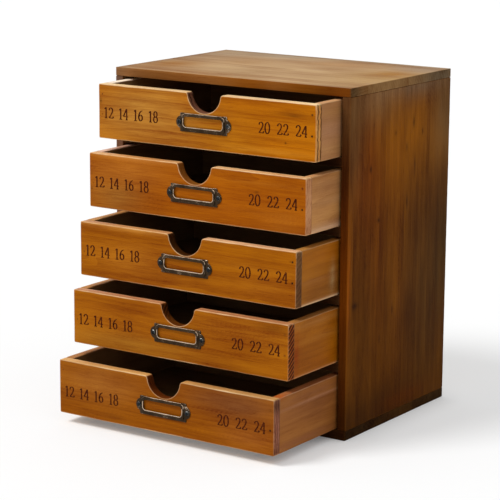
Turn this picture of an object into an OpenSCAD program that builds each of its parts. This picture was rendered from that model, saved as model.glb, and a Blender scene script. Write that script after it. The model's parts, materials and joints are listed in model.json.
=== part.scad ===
// Desktop cabinet of five small wooden drawers, each with a half-round finger notch and a metal
// label holder. The origin is the middle of the underside, the fronts face -Y and +Z is up.

/* [Cabinet] */
// Overall width of the cabinet
cabinet_w = 250; // [180:1:400]
// Overall depth of the cabinet, with its drawers shut
cabinet_d = 176; // [150:1:300]
// Thickness of the top board, which laps over the side boards
top_t = 8; // [6:0.5:16]
// Thickness of the base board, which runs under the side boards
base_t = 9; // [6:0.5:16]
// Thickness of the side boards
side_t = 8; // [6:0.5:16]
// Thickness of the shelves between the drawers
shelf_t = 8.5; // [5:0.5:14]
// Depth of the housings that hold the ends of the shelves
housing_depth = 3; // [1:0.5:4]
// Distance behind the front edges at which the housings stop
housing_stop = 6; // [2:0.5:20]
// Thickness of the back panel
back_t = 4; // [3:0.5:8]
// Width of the rebate that the edges of the back panel sit in
rebate_w = 4; // [2.5:0.5:5]
// Gap left for glue at the blind ends of shelves, tongues and panels
joint_gap = 0.2; // [0.1:0.1:0.5]

/* [Drawers] */
// Height of each drawer
drawer_h = 49; // [42:1:90]
// Gap between a drawer and the board above it
gap_above = 2.6; // [1:0.1:5]
// Running gap between a drawer and the board that it slides on
gap_below = 0.3; // [0.2:0.1:0.9]
// Gap at each side of a drawer
gap_side = 2; // [0.5:0.1:4]
// Gap between the back of a shut drawer and the back panel
gap_behind = 1; // [0.5:0.5:6]
// Thickness of the drawer front, which laps over the ends of the drawer's sides
front_t = 8.75; // [7:0.25:14]
// Rounding along the edges of the drawer front
front_ease_r = 1; // [0.5:0.1:2]
// Thickness of the drawer's sides
drawer_side_t = 8; // [6:0.5:12]
// Thickness of the drawer's back
drawer_back_t = 8; // [6:0.5:12]
// Thickness of the drawer's plywood bottom
bottom_t = 3; // [2:0.5:5]
// Height of the bottom's underside above the drawer's lower edge
bottom_up = 5; // [3:0.5:7]
// Depth of the groove that holds the bottom
groove_depth = 3; // [1.5:0.5:4]

/* [Open drawers] */
// How far the top drawer stands open
open_1 = 38; // [0:0.1:140]
// How far the second drawer stands open
open_2 = 52; // [0:0.1:140]
// How far the third drawer stands open
open_3 = 66; // [0:0.1:140]
// How far the fourth drawer stands open
open_4 = 76.5; // [0:0.1:140]
// How far the bottom drawer stands open
open_5 = 97.5; // [0:0.1:140]

/* [Finger notch] */
// Radius of the half-round notch in the upper edge of a drawer front
notch_r = 17.25; // [10:0.25:24]
// Rounding of the notch's two shoulders
shoulder_r = 3; // [1:0.5:6]

/* [Label holder] */
// Distance between the notch and the label holder
holder_drop = 0.9; // [0.5:0.1:4]
// Thickness of the sheet metal
sheet_t = 0.7; // [0.5:0.1:1]
// Width of the raised frame
raised_w = 45; // [36:0.5:70]
// Height of the raised frame
raised_h = 14.5; // [12:0.5:18]
// Rounding of the raised frame's corners
raised_r = 2.5; // [1:0.5:3]
// How far the raised frame stands off the drawer front
raised_by = 2.1; // [1.6:0.1:3]
// Width of the flat flange to the left and right of the raised frame
flange_side = 2.25; // [1:0.25:5]
// Height of the flat flange above and below the raised frame
flange_edge = 1; // [0.5:0.25:3]
// Width of the raised frame's left and right rails
side_rail = 1.75; // [1.25:0.25:4]
// Height of the raised frame's upper rail
upper_rail = 2; // [1.2:0.1:3]
// Height of the raised frame's lower rail
lower_rail = 2.8; // [1.2:0.1:4]
// Rounding of the window's corners
window_r = 2; // [1:0.5:3]
// Width of an ear's rim beyond the screw head
ear_rim = 1.8; // [0.8:0.1:4]
// How far the centre of an ear lies inside its screw
ear_inset = 2.75; // [0:0.25:4]

/* [Screws and nails] */
// Gap between a screw head and the raised frame beside it
head_gap = 1.05; // [0.3:0.05:3]
// Radius of a screw head
screw_head_r = 2.2; // [1.6:0.1:3]
// Height of a domed screw head
screw_head_h = 1.3; // [0.8:0.1:1.8]
// Radius of a screw's shank
screw_r = 0.8; // [0.5:0.1:1.1]
// Length of a screw below its head
screw_len = 7; // [5:0.5:7.5]
// Width of the slot in a screw head
slot_w = 0.6; // [0.4:0.1:0.8]
// Depth of the slot in a screw head
slot_depth = 0.6; // [0.3:0.1:0.7]
// Gap round a screw's shank where it passes through the label holder
screw_gap = 0.1; // [0.1:0.1:0.3]
// Radius of a nail's shank
nail_r = 0.7; // [0.4:0.1:0.9]
// Radius of a nail's head
nail_head_r = 1.1; // [1:0.1:1.6]
// Thickness of a nail's head
nail_head_t = 0.8; // [0.4:0.1:1.2]
// Length of the nails in a drawer
nail_len = 25; // [18:1:35]
// Distance from a drawer's upper edge to its upper nails
nail_drop = 9; // [5:0.5:14]
// Distance from the groove of the drawer's bottom up to the lower nails
nail_lift = 14; // [2:0.5:16]
// Radius of a pin in the back panel
pin_r = 0.6; // [0.4:0.1:1]
// Length of a pin in the back panel
pin_len = 15; // [10:1:25]
// Number of pins along the top and the bottom of the back panel
pin_columns = 3; // [1:1:6]
// Gap round nails and pins in the wood
nail_gap = 0.02; // [0.01:0.01:0.05]

/* [Hidden] */
$fn = 64;
cut = 1; // how far a cut runs past the face that it opens

open_by = [open_1, open_2, open_3, open_4, open_5];
drawer_count = len(open_by);

front_y = -cabinet_d / 2;
rear_y = cabinet_d / 2;
panel_y = rear_y - back_t; // front of the back panel
outer_x = cabinet_w / 2;
inner_x = outer_x - side_t; // inner faces of the side boards
rebate_x = inner_x + rebate_w;

opening_h = gap_below + drawer_h + gap_above;
pitch = opening_h + shelf_t;
ceiling_z = base_t + drawer_count * pitch - shelf_t; // underside of the top board
cabinet_h = ceiling_z + top_t;

drawer_x = inner_x - gap_side; // outer faces of a drawer's sides
hollow_x = drawer_x - drawer_side_t; // inner faces of a drawer's sides
drawer_d = cabinet_d - back_t - gap_behind;
hollow_y = drawer_d - drawer_back_t; // inner face of a drawer's back
groove_top = bottom_up + bottom_t;

flange_w = raised_w + 2 * flange_side;
flange_h = raised_h + 2 * flange_edge;
window_w = raised_w - 2 * side_rail;
window_h = raised_h - upper_rail - lower_rail;
window_up = (lower_rail - upper_rail) / 2; // middle of the window above the middle of the flange
card_x = raised_w / 2 - sheet_t; // half the width of the space for the card
screw_x = raised_w / 2 + head_gap + screw_head_r;
ear_x = screw_x - ear_inset;
ear_r = ear_inset + screw_head_r + ear_rim;
holder_z = drawer_h - notch_r - holder_drop - flange_h / 2; // middle of the flange

nail_heights = [groove_top + nail_lift, drawer_h - nail_drop];

carcass_nodes = ["top_board", "base_board", "left_side", "right_side", "back_panel", "back_panel_pins"];
drawer_parts = ["front", "left_side", "right_side", "back", "bottom", "label_holder", "screws", "nails"];

walnut = "#5a3a22";
honey = "#b87a34";
tan_wood = "#a87440";
plywood = "#9c7446";
pewter = "#6b655c";
steel = "#8c8a86";

// Height of the surface that drawer i slides on, counted from the top
function floor_z(i) = base_t + (drawer_count - i) * pitch;

// A box between pairs of limits along X, Y and Z
module block(x, y, z)
    translate([x[0], y[0], z[0]])
        cube([x[1] - x[0], y[1] - y[0], z[1] - z[0]]);

// A rectangle centred on the origin, with round corners
module round_rect(w, h, r) {
    square([w - 2 * r, h], center = true);
    square([w, h - 2 * r], center = true);
    for (x = [-1, 1], y = [-1, 1])
        translate([x * (w / 2 - r), y * (h / 2 - r)])
            circle(r);
}

// Stands an outline drawn in X and Z upright, and thickens it between two depths along Y
module upright(y0, y1)
    translate([0, y1, 0])
        rotate([90, 0, 0])
            linear_extrude(y1 - y0)
                children();

// A shape made along +Z at the origin, laid down to point along +Y
module along_y() rotate([-90, 0, 0]) children();

// A shape and its mirror image across the middle of the cabinet
module both_sides() {
    children();
    mirror([1, 0, 0]) children();
}

// A nail that points along +Z, with its head flush with z = 0; gap widens it for its hole
module nail(r, head_r, length, gap = 0) {
    translate([0, 0, gap > 0 ? -cut : 0])
        cylinder(r = head_r + gap, h = nail_head_t + (gap > 0 ? cut : 0));
    cylinder(r = r + gap, h = length + gap);
}

// ---- cabinet ----

module back_rebate()
    block([-rebate_x, rebate_x], [panel_y, rear_y + cut], [base_t - rebate_w, ceiling_z + rebate_w]);

module shelf_blank(i, half_w, y0)
    block([-half_w, half_w], [y0, panel_y], [floor_z(i) - shelf_t, floor_z(i)]);

// The pins of the back panel, one beside each drawer and a row along the top and the bottom
module panel_pins(gap = 0) {
    both_sides()
        for (i = [1 : drawer_count])
            translate([inner_x + rebate_w / 2, rear_y, floor_z(i) + opening_h / 2])
                mirror([0, 1, 0]) along_y() nail(pin_r, pin_r, pin_len, gap);
    for (k = [1 : pin_columns], z = [base_t - rebate_w / 2, ceiling_z + rebate_w / 2])
        translate([inner_x * (2 * k / (pin_columns + 1) - 1), rear_y, z])
            mirror([0, 1, 0]) along_y() nail(pin_r, pin_r, pin_len, gap);
}

module top_board()
    color(walnut) difference() {
        block([-outer_x, outer_x], [front_y, rear_y], [ceiling_z, cabinet_h]);
        back_rebate();
        panel_pins(nail_gap);
    }

module base_board()
    color(walnut) difference() {
        block([-outer_x, outer_x], [front_y, rear_y], [0, base_t]);
        back_rebate();
        panel_pins(nail_gap);
    }

module right_side()
    color(walnut) difference() {
        block([inner_x, outer_x], [front_y, rear_y], [base_t, ceiling_z]);
        back_rebate();
        for (i = [1 : drawer_count - 1])
            shelf_blank(i, inner_x + housing_depth, front_y + housing_stop);
        panel_pins(nail_gap);
    }

module left_side() mirror([1, 0, 0]) right_side();

module back_panel()
    color(plywood) difference() {
        block([-rebate_x + joint_gap, rebate_x - joint_gap], [panel_y, rear_y],
              [base_t - rebate_w + joint_gap, ceiling_z + rebate_w - joint_gap]);
        panel_pins(nail_gap);
    }

module back_panel_pins() color(steel) panel_pins();

// Its ends sit in housings that stop short of the front, where it is only as wide as the space
module shelf(i)
    color(walnut) {
        shelf_blank(i, inner_x, front_y);
        shelf_blank(i, inner_x + housing_depth - joint_gap, front_y + housing_stop + joint_gap);
    }

// ---- drawer, with its front face at y = 0 and its lower edge at z = 0 ----

module in_place(i)
    translate([0, front_y - open_by[i - 1], floor_z(i) + gap_below])
        children();

// The bottom panel with its edges in the grooves; gap is what it stays short of their ends
module bottom_blank(gap = 0)
    block([-hollow_x - groove_depth + gap, hollow_x + groove_depth - gap],
          [front_t - groove_depth + gap, hollow_y + groove_depth - gap],
          [bottom_up, groove_top]);

// Nails through the front into the ends of the sides, and through the sides into the back
module drawer_nails(gap = 0)
    both_sides()
        for (z = nail_heights) {
            translate([drawer_x - drawer_side_t / 2, 0, z])
                along_y() nail(nail_r, nail_head_r, nail_len, gap);
            translate([drawer_x, drawer_d - drawer_back_t / 2, z])
                rotate([0, -90, 0]) nail(nail_r, nail_head_r, nail_len, gap);
        }

// Half-round notch with rounded shoulders, drawn from the middle of the upper edge
module notch_outline() {
    shoulder_x = sqrt(pow(notch_r + shoulder_r, 2) - pow(shoulder_r, 2));
    circle(notch_r);
    difference() {
        polygon([[0, 0], [-shoulder_x, -shoulder_r], [-shoulder_x, cut], [shoulder_x, cut], [shoulder_x, -shoulder_r]]);
        for (x = [-shoulder_x, shoulder_x])
            translate([x, -shoulder_r]) circle(shoulder_r);
    }
}

module screw_holes()
    both_sides()
        translate([screw_x, 0, holder_z])
            along_y() translate([0, 0, -cut]) cylinder(r = screw_r, h = cut + screw_len - sheet_t);

module front()
    color(honey) difference() {
        intersection() {
            upright(0, front_t) difference() {
                translate([-drawer_x, 0]) square([2 * drawer_x, drawer_h]);
                translate([0, drawer_h]) notch_outline();
            }
            translate([-drawer_x, front_t / 2, drawer_h / 2])
                rotate([90, 0, 90])
                    linear_extrude(2 * drawer_x)
                        round_rect(front_t, drawer_h, front_ease_r);
        }
        bottom_blank();
        drawer_nails(nail_gap);
        screw_holes();
    }

module side()
    color(tan_wood) difference() {
        block([hollow_x, drawer_x], [front_t, drawer_d], [0, drawer_h]);
        bottom_blank();
        drawer_nails(nail_gap);
    }

module back()
    color(tan_wood) difference() {
        block([-hollow_x, hollow_x], [hollow_y, drawer_d], [0, drawer_h]);
        bottom_blank();
        drawer_nails(nail_gap);
    }

module bottom() color(plywood) bottom_blank(joint_gap);

module nails() color(steel) drawer_nails();

// Pressed frame with a flat flange and ears; its card slides in from above, behind the window
module label_holder()
    color(pewter) difference() {
        translate([0, 0, holder_z]) {
            upright(-sheet_t, 0) {
                square([flange_w, flange_h], center = true);
                for (x = [-ear_x, ear_x])
                    translate([x, 0]) circle(ear_r);
            }
            upright(-raised_by, 0) round_rect(raised_w, raised_h, raised_r);
        }
        translate([0, 0, holder_z + window_up])
            upright(-raised_by - cut, cut) round_rect(window_w, window_h, window_r);
        block([-card_x, card_x], [sheet_t - raised_by, cut],
              [holder_z - raised_h / 2 + sheet_t, holder_z + flange_h / 2 + cut]);
        both_sides()
            translate([screw_x, -sheet_t - cut, holder_z])
                along_y() cylinder(r = screw_r + screw_gap, h = sheet_t + 2 * cut);
    }

// Two slotted screws with domed heads
module screws() {
    dome_r = (pow(screw_head_r, 2) + pow(screw_head_h, 2)) / (2 * screw_head_h);
    color(steel)
        both_sides()
            translate([screw_x, -sheet_t, holder_z]) {
                along_y() cylinder(r = screw_r, h = screw_len);
                difference() {
                    mirror([0, 1, 0]) along_y() intersection() {
                        translate([0, 0, screw_head_h - dome_r]) sphere(dome_r);
                        cylinder(r = screw_head_r, h = screw_head_h);
                    }
                    block([-screw_head_r, screw_head_r], [-screw_head_h - cut, slot_depth - screw_head_h],
                          [-slot_w / 2, slot_w / 2]);
                }
            }
}

top_board();
base_board();
left_side();
right_side();
back_panel();
back_panel_pins();
for (i = [1 : drawer_count - 1])
    shelf(i);
for (i = [1 : drawer_count]) {
    in_place(i) front();
    in_place(i) mirror([1, 0, 0]) side();
    in_place(i) side();
    in_place(i) back();
    in_place(i) bottom();
    in_place(i) label_holder();
    in_place(i) screws();
    in_place(i) nails();
}
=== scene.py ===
import json
from functools import partial

import bmesh
import bpy
import numpy as np
from mathutils import Matrix, Vector


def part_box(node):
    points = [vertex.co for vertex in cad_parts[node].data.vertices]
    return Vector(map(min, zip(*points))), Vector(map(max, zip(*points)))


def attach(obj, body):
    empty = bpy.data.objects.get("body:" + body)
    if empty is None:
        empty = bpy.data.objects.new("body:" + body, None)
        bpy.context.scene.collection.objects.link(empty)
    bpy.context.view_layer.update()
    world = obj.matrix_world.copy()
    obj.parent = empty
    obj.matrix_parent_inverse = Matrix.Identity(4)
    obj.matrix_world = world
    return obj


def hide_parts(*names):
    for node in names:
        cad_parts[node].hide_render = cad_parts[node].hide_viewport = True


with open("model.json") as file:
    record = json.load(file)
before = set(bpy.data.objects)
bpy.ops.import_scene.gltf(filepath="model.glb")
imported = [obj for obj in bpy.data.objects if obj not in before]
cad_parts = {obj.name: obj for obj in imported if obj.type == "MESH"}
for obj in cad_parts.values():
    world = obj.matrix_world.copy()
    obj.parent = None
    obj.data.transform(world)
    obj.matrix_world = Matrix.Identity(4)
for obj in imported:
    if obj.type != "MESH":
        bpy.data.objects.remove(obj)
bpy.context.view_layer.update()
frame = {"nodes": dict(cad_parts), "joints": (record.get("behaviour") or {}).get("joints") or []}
drawerNumbers = range(1, len(frame["joints"]) + 1)
print(f"frame: {len(frame['nodes'])} CAD nodes, {len(drawerNumbers)} drawers")

mm = 0.001  # pieces are worked out in millimetres and put into their meshes in metres


# Meshes

def ripple(points, wavelength, seed):
    # A sum of six plane waves in seeded directions: one value, from about -1 to 1, for each point
    random = np.random.default_rng(seed)
    waves = random.normal(size=(points.shape[-1], 6)) / wavelength
    return np.sin(2 * np.pi * (points @ waves) + random.uniform(0, 2 * np.pi, 6)).sum(-1) / 3.5


def quadsBetween(rings):
    # Quads between neighbouring rings of vertex numbers, where each ring is closed on itself
    first, second = rings[:-1], rings[1:]
    return np.stack([first, np.roll(first, -1, 1), np.roll(second, -1, 1), second], -1).reshape(-1, 4)


def quadsInside(grid):
    # Quads of an open grid of vertex numbers
    return np.stack([grid[:-1, :-1], grid[1:, :-1], grid[1:, 1:], grid[:-1, 1:]], -1).reshape(-1, 4)


def rimOf(columns, rows):
    # Column and row numbers along the border of a grid, once round
    i = np.concatenate([np.arange(columns), np.full(rows - 2, columns - 1),
                        np.arange(columns)[::-1], np.zeros(rows - 2, int)])
    j = np.concatenate([np.zeros(columns, int), np.arange(1, rows - 1),
                        np.full(columns, rows - 1), np.arange(1, rows - 1)[::-1]])
    return i, j


def slabQuads(columns, rows, wallRows):
    # Two grids of vertices, the lower and the upper face, joined round their borders by rings
    lower = np.arange(columns * rows).reshape(columns, rows)
    i, j = rimOf(columns, rows)
    walls = lower.size + np.arange(wallRows * len(i)).reshape(wallRows, len(i))
    upper = lower + lower.size + walls.size
    rings = np.concatenate([lower[i, j][None], walls, upper[i, j][None]])
    return np.concatenate([quadsInside(lower)[:, ::-1], quadsBetween(rings), quadsInside(upper)])


def makePiece(name, points, quads, attributes=None):
    # Puts vertices, quads and point attributes into a new object, with its faces outwards
    corners = points[quads]
    spread = np.cross(corners[:, 2] - corners[:, 0], corners[:, 3] - corners[:, 1])
    if (corners.mean(1) * spread).sum() < 0:
        quads = quads[:, ::-1]
    mesh = bpy.data.meshes.new(name)
    mesh.from_pydata((points * mm).tolist(), [], quads.tolist())
    for label, (kind, values) in (attributes or {}).items():
        layer = mesh.attributes.new(label, kind, "POINT")
        field = {"FLOAT": "value", "FLOAT_VECTOR": "vector", "FLOAT_COLOR": "color"}[kind]
        layer.data.foreach_set(field, np.ascontiguousarray(values, np.float32).ravel())
    mesh.shade_smooth()
    piece = bpy.data.objects.new(name, mesh)
    bpy.context.scene.collection.objects.link(piece)
    return piece


def finishEdges(piece, sharpFrom):
    # Joins points that lie on each other, and shades edges that turn more than sharpFrom degrees as sharp
    shape = bmesh.new()
    shape.from_mesh(piece.data)
    bmesh.ops.remove_doubles(shape, verts=shape.verts, dist=1e-7)
    shape.to_mesh(piece.data)
    shape.free()
    piece.data.set_sharp_from_angle(angle=np.radians(sharpFrom))


def settle(piece, body, material, stands=()):
    # Gives a piece its material, hangs it on the body it rides on, and hides the CAD nodes it stands for
    piece.data.materials.append(material)
    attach(piece, body)
    if stands:
        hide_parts(*stands)
    return piece


def boxOf(node):
    # Lowest and highest corner of a CAD node, in millimetres
    low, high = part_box(node)
    return np.array(low) / mm, np.array(high) / mm


# Materials

def colour(code):
    # An sRGB hex colour as linear red, green and blue, with full opacity
    parts = np.array([int(code[i:i + 2], 16) / 255 for i in (1, 3, 5)])
    linear = np.where(parts <= 0.04045, parts / 12.92, ((parts + 0.055) / 1.055) ** 2.4)
    return (*linear, 1.0)


def addNode(tree, kind, inputs=(), out=0, **settings):
    # Adds one shader node with its settings, fills its sockets, named or in order, with values or with other
    # nodes' outputs, and gives back one of its own outputs
    node = tree.nodes.new("ShaderNode" + kind)
    for label, value in settings.items():
        setattr(node, label, value)
    for label, value in inputs.items() if isinstance(inputs, dict) else enumerate(inputs):
        if isinstance(value, bpy.types.NodeSocket):
            tree.links.new(value, node.inputs[label])
        else:
            node.inputs[label].default_value = value
    return node.outputs[out] if len(node.outputs) else node


def newMaterial(name, uniform):
    # A material that holds a Principled shader, with what is the same all over set on its own sockets
    material = bpy.data.materials.new(name)
    material.use_nodes = True
    tree = material.node_tree
    tree.nodes.clear()
    surface = addNode(tree, "BsdfPrincipled", uniform)
    addNode(tree, "OutputMaterial", {"Surface": surface})
    return material, tree, surface.node


# Each pattern's size in millimetres along, across and through the grain, and how much finer detail it has.
# Real fibres are some 0.04 mm wide, too fine to show, so they and the dashes among them are coarser here.
figure = {"fibres": ((16, 0.7, 0.7), 3.0), "dashes": ((9, 0.55, 0.55), 1.0), "streaks": ((150, 6, 6), 3.0),
          "blotches": ((80, 34, 34), 1.5), "wear": ((14, 4, 4), 3.0), "thinned": ((50, 40, 40), 1.0),
          "bend": ((170, 38, 38), 2.5)}

pine = {
    # millimetres: width of the glued strips, distance between growth rings, how far these wander
    "strip": 400, "ring": 3.0, "bend": 14.0,
    # share of places with a knot, how dark the stain is all over, and how much each of these adds to it
    "knots": 0.0, "base": 0.25, "rings": 0.22, "endRings": 0.3, "fibres": 0.5, "streaks": 0.8,
    "blotches": 1.3, "stripTone": 0.0, "dashes": 0.25,
    # how much lighter the light parts are than the board's colour, how far and how wide the edges are worn
    "lift": 1.22, "wear": 0.6, "wearWidth": 0.7, "rough": 0.38, "shine": 0.03}
stain = {
    # how sharply a ring darkens, the faintest ring, where fibres break into dark dashes
    "lateWood": 2.6, "faintRing": 0.35, "dashFrom": (0.66, 0.76),
    # noise between which the edges go from little to much worn, with both shares; how bare worn wood is
    "thinned": (0.3, 0.62, 0.35, 1.0), "bare": 0.55,
    # colour of knots, holes and cracks; noise between which marks go from faint to full, with both shares
    "pits": "#1a0b04", "pitted": (0.3, 0.7, 0.55, 1.25)}
# a knot's place along and across in millimetres; in parts of that its core's edge and how far it pushes the
# rings; by how many millimetres it does, and how dark it is
knot = {"place": (120, 50), "core": (0.012, 0.032), "reach": 0.3, "push": 5.0, "dark": 0.8}
# drying cracks in millimetres: their waves' length and swing, the distance between two, half of their width
crack = {"wave": 9, "swing": 6.0, "apart": 2.3, "half": (0.4, 0.8)}


def woodMaterial(name, changes):
    # Stained softwood as a solid pattern: growth rings round a pith that lies outside the board, fibres
    # and long streaks along the grain, pin knots, and edges where handling has taken the stain off, which
    # along the drawer fronts' upper edges is partly a painted highlight.
    # The board's own attributes give millimetres along, across and through the grain.
    recipe = {**pine, **changes}
    material, tree, shader = newMaterial(name, {"Specular IOR Level": recipe["shine"]})
    add = partial(addNode, tree)
    grain, hatch = [add("Attribute", out=1, attribute_name=label) for label in ("grain", "hatch")]
    seed, rim, endGrain, handlingAndHighlight, darkMark, crackAt = [
        add("Attribute", out=2, attribute_name=label)
        for label in ("boardSeed", "rimDistance", "endGrain", "handlingAndHighlight", "darkMark", "crackAt")]
    tint = add("Attribute", attribute_name="tint")
    across = add("SeparateXYZ", [grain], out=1)
    through = across.node.outputs[2]

    # each glued strip is cut from another place in the log
    stripPlace = add("Math", [across, 1 / recipe["strip"], seed], operation="MULTIPLY_ADD")
    stripNumber = add("Math", [stripPlace], operation="FLOOR")
    stripKey = add("CombineXYZ", [stripNumber, seed])
    draw = add("TexWhiteNoise", {"Vector": stripKey}, out=1)
    shift = add("VectorMath", [draw, (900, 90, 40), (0, -60, 22)], operation="MULTIPLY_ADD")
    log = add("VectorMath", [grain, shift], operation="ADD")
    field = {"stripTone": add("SeparateColor", [draw], out=2)}
    for label, (size, detail) in figure.items():
        place = add("VectorMath", [log, tuple(1 / part for part in size)], operation="MULTIPLY")
        field[label] = add("TexNoise", {"Vector": place, "Scale": 1.0, "Detail": detail})

    # pin knots, about 2 by 4 mm, push the rings aside
    knotPlaces = [1 / length for length in knot["place"]]
    knotCell = add("VectorMath", [log, (*knotPlaces, 0)], operation="MULTIPLY")
    knotDistance = add("TexVoronoi", {"Vector": knotCell, "Scale": 1.0}, voronoi_dimensions="2D")
    knotDraw = add("SeparateColor", [knotDistance.node.outputs[1]])
    knotHere = add("Math", [knotDraw, recipe["knots"]], operation="LESS_THAN")
    knotCore = add("MapRange", [knotDistance, *knot["core"], 1.0, 0.0],
                   interpolation_type="SMOOTHSTEP")
    knotCore = add("Math", [knotCore, knotHere], operation="MULTIPLY")
    knotPush = add("MapRange", [knotDistance, 0.0, knot["reach"], knot["push"], 0.0],
                   interpolation_type="SMOOTHERSTEP")
    knotPush = add("Math", [knotPush, knotHere], operation="MULTIPLY")

    # growth rings: distance from the pith, bent by slow waves along the trunk
    bend = add("Math", [field["bend"], recipe["bend"], knotPush], operation="MULTIPLY_ADD")
    radial = add("VectorMath", [log, (0, 1, 1)], operation="MULTIPLY")
    radius = add("VectorMath", [radial], out=1, operation="LENGTH")
    radius = add("Math", [radius, bend], operation="ADD")
    ring = add("Math", [radius, recipe["ring"]], operation="DIVIDE")
    ringNumber = add("Math", [ring], operation="FLOOR")
    ringPart = add("Math", [ring], operation="FRACT")
    lateWood = add("Math", [ringPart, stain["lateWood"]], operation="POWER")
    ringDraw = add("TexWhiteNoise", {"W": ringNumber}, noise_dimensions="1D")
    ringDraw = add("MapRange", {0: ringDraw, 3: stain["faintRing"], 4: 1.0})
    lateWood = add("Math", [lateWood, ringDraw], operation="MULTIPLY")

    # how dark the stain has taken, from 0 to 1
    ringDepth = add("Math", [endGrain, recipe["endRings"], recipe["rings"]], operation="MULTIPLY_ADD")
    dark = add("Math", [lateWood, ringDepth, recipe["base"]], operation="MULTIPLY_ADD")
    for label in ("fibres", "streaks", "blotches", "stripTone"):
        centred = add("Math", [field[label], 0.5], operation="SUBTRACT")
        dark = add("Math", [centred, recipe[label], dark], operation="MULTIPLY_ADD")
    dashes = add("MapRange", [field["dashes"], *stain["dashFrom"], 0.0, recipe["dashes"]])
    dark = add("Math", [dashes, dark], operation="ADD")
    dark = add("Math", [knotCore, knot["dark"], dark], operation="MULTIPLY_ADD", use_clamp=True)
    deepTint = add("Mix", {0: 1.0, 6: tint, 7: colour(recipe["deep"])}, out=2,
                   data_type="RGBA", blend_type="MULTIPLY")
    lightTint = add("VectorMath", {0: tint, "Scale": recipe["lift"]}, operation="SCALE")
    stained = add("Mix", {0: dark, 6: lightTint, 7: deepTint}, out=2, data_type="RGBA")

    # the stain is rubbed thin along the edges, more in some places than in others; along the fronts' upper
    # edges this pale wear is partly a painted highlight
    wearEdge = add("Math", [field["wear"], -recipe["wearWidth"] * 2, rim], operation="MULTIPLY_ADD")
    worn = add("MapRange", [wearEdge, -recipe["wearWidth"] * 1.1, 0.0, recipe["wear"], 0.0],
               interpolation_type="SMOOTHSTEP")
    thinned = add("MapRange", [field["thinned"], *stain["thinned"]])
    for share in (thinned, handlingAndHighlight):
        worn = add("Math", [worn, share], operation="MULTIPLY")
    wornTint = add("Mix", {0: stain["bare"], 6: lightTint, 7: colour(recipe["worn"])}, out=2,
                   data_type="RGBA")
    handled = add("Mix", {0: worn, 6: stained, 7: wornTint}, out=2, data_type="RGBA")

    # knots and nail holes where the board has them; down the end grain its growth rings, whose cycles per
    # millimetre across and through the board "hatch" gives with their strength, and drying cracks
    hatchAcross = add("SeparateXYZ", [hatch])
    hatchThrough, hatchStrength = hatchAcross.node.outputs[1:]
    acrossEnd = add("VectorMath", [grain, (0, 1, 1)], operation="MULTIPLY")
    turned = add("CombineXYZ", {1: hatchAcross, 2: hatchThrough})
    phase = add("VectorMath", [acrossEnd, turned], out=1, operation="DOT_PRODUCT")
    crackPlace = add("VectorMath", [grain, (0, 1 / crack["wave"], 0)], operation="MULTIPLY")
    crackBend = add("TexNoise", {"Vector": crackPlace, "Scale": 1.0, "Detail": 4.0})
    phase = add("Math", [crackBend, 0.9, phase], operation="MULTIPLY_ADD")
    phase = add("Math", [phase], operation="FRACT")
    ringLine = add("MapRange", [phase, 0.15, 0.4], interpolation_type="SMOOTHSTEP")
    ringLine = add("Math", [ringLine, hatchStrength], operation="MULTIPLY")
    crackGap = add("Math", [crackBend, crack["swing"], crackAt], operation="MULTIPLY_ADD")
    crackGap = add("Math", [through, crackGap], operation="SUBTRACT")
    crackGap = add("Math", [crackGap, crack["apart"], -crack["apart"]], operation="WRAP")
    crackGap = add("Math", [crackGap], operation="ABSOLUTE")
    line = add("MapRange", [crackGap, *crack["half"], 1.0, 0.0])
    cracked = add("Math", [crackAt, 0.0], operation="GREATER_THAN")
    for other, operation in ((cracked, "MULTIPLY"), (ringLine, "MAXIMUM"), (endGrain, "MULTIPLY")):
        line = add("Math", [line, other], operation=operation)
    markNoise = add("MapRange", [field["fibres"], *stain["pitted"]])
    pitted = add("Math", [darkMark, markNoise], operation="MULTIPLY")
    pitted = add("Math", [pitted, line], operation="MAXIMUM", use_clamp=True)
    marked = add("Mix", {0: pitted, 6: handled, 7: colour(stain["pits"])}, out=2, data_type="RGBA")

    # satin lacquer: end grain and worn edges are duller, the fibres stand up a little
    rough = recipe["rough"] - 0.08
    for dull, share in ((field["streaks"], 0.16), (endGrain, 0.18), (worn, 0.12)):
        rough = add("Math", [dull, share, rough], operation="MULTIPLY_ADD", use_clamp=dull is worn)
    relief = add("Math", [lateWood, 0.5, field["fibres"]], operation="MULTIPLY_ADD")
    bump = add("Bump", {"Height": relief, "Strength": 0.35, "Distance": 0.12 * mm})
    for socket, source in {"Base Color": marked, "Roughness": rough, "Normal": bump}.items():
        tree.links.new(source, shader.inputs[socket])
    return material


# pine boards, planed, stained honey brown and lacquered: warm orange bands under a soft gloss
honeyPine = woodMaterial("honeyStainedPine", {
    "ring": 2.8, "rings": 0.3, "fibres": 0.9, "streaks": 1.1, "dashes": 0.35, "deep": "#b0702c",
    "worn": "#f6dcae", "wear": 0.9, "wearWidth": 1.0})
# the same under a thinner tan stain: paler and duller, with a fainter grain
tanPine = woodMaterial("tanStainedPine", {
    "rings": 0.18, "streaks": 0.5, "dashes": 0.2, "deep": "#a06c38", "lift": 1.2, "worn": "#f8e4c4",
    "wear": 0.85, "wearWidth": 0.8, "rough": 0.46, "shine": 0.04})
# glued strips under a dark walnut stain, wiped on by hand: deep brown with amber clouds and dark dashes
walnutPine = woodMaterial("walnutStainedPine", {
    "strip": 44, "ring": 3.2, "bend": 18.0, "base": 0.3, "rings": 0.2, "fibres": 0.8, "streaks": 0.9,
    "stripTone": 0.3, "dashes": 0.45, "deep": "#8a561c", "lift": 1.35, "worn": "#b87028", "wear": 0.7,
    "wearWidth": 0.6, "rough": 0.36, "shine": 0.008})
# glued strips whose thin stain was waxed and rubbed: flat, with amber where it is thick; as it hardly shines,
# the pale greyish brown of its board is partly a painted sheen
waxedPine = woodMaterial("waxedStainedPine", {
    "strip": 70, "ring": 3.2, "bend": 18.0, "endRings": 0.25, "stripTone": 0.3, "deep": "#be905c",
    "worn": "#dcae78", "rough": 0.33, "shine": 0.001})
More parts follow.
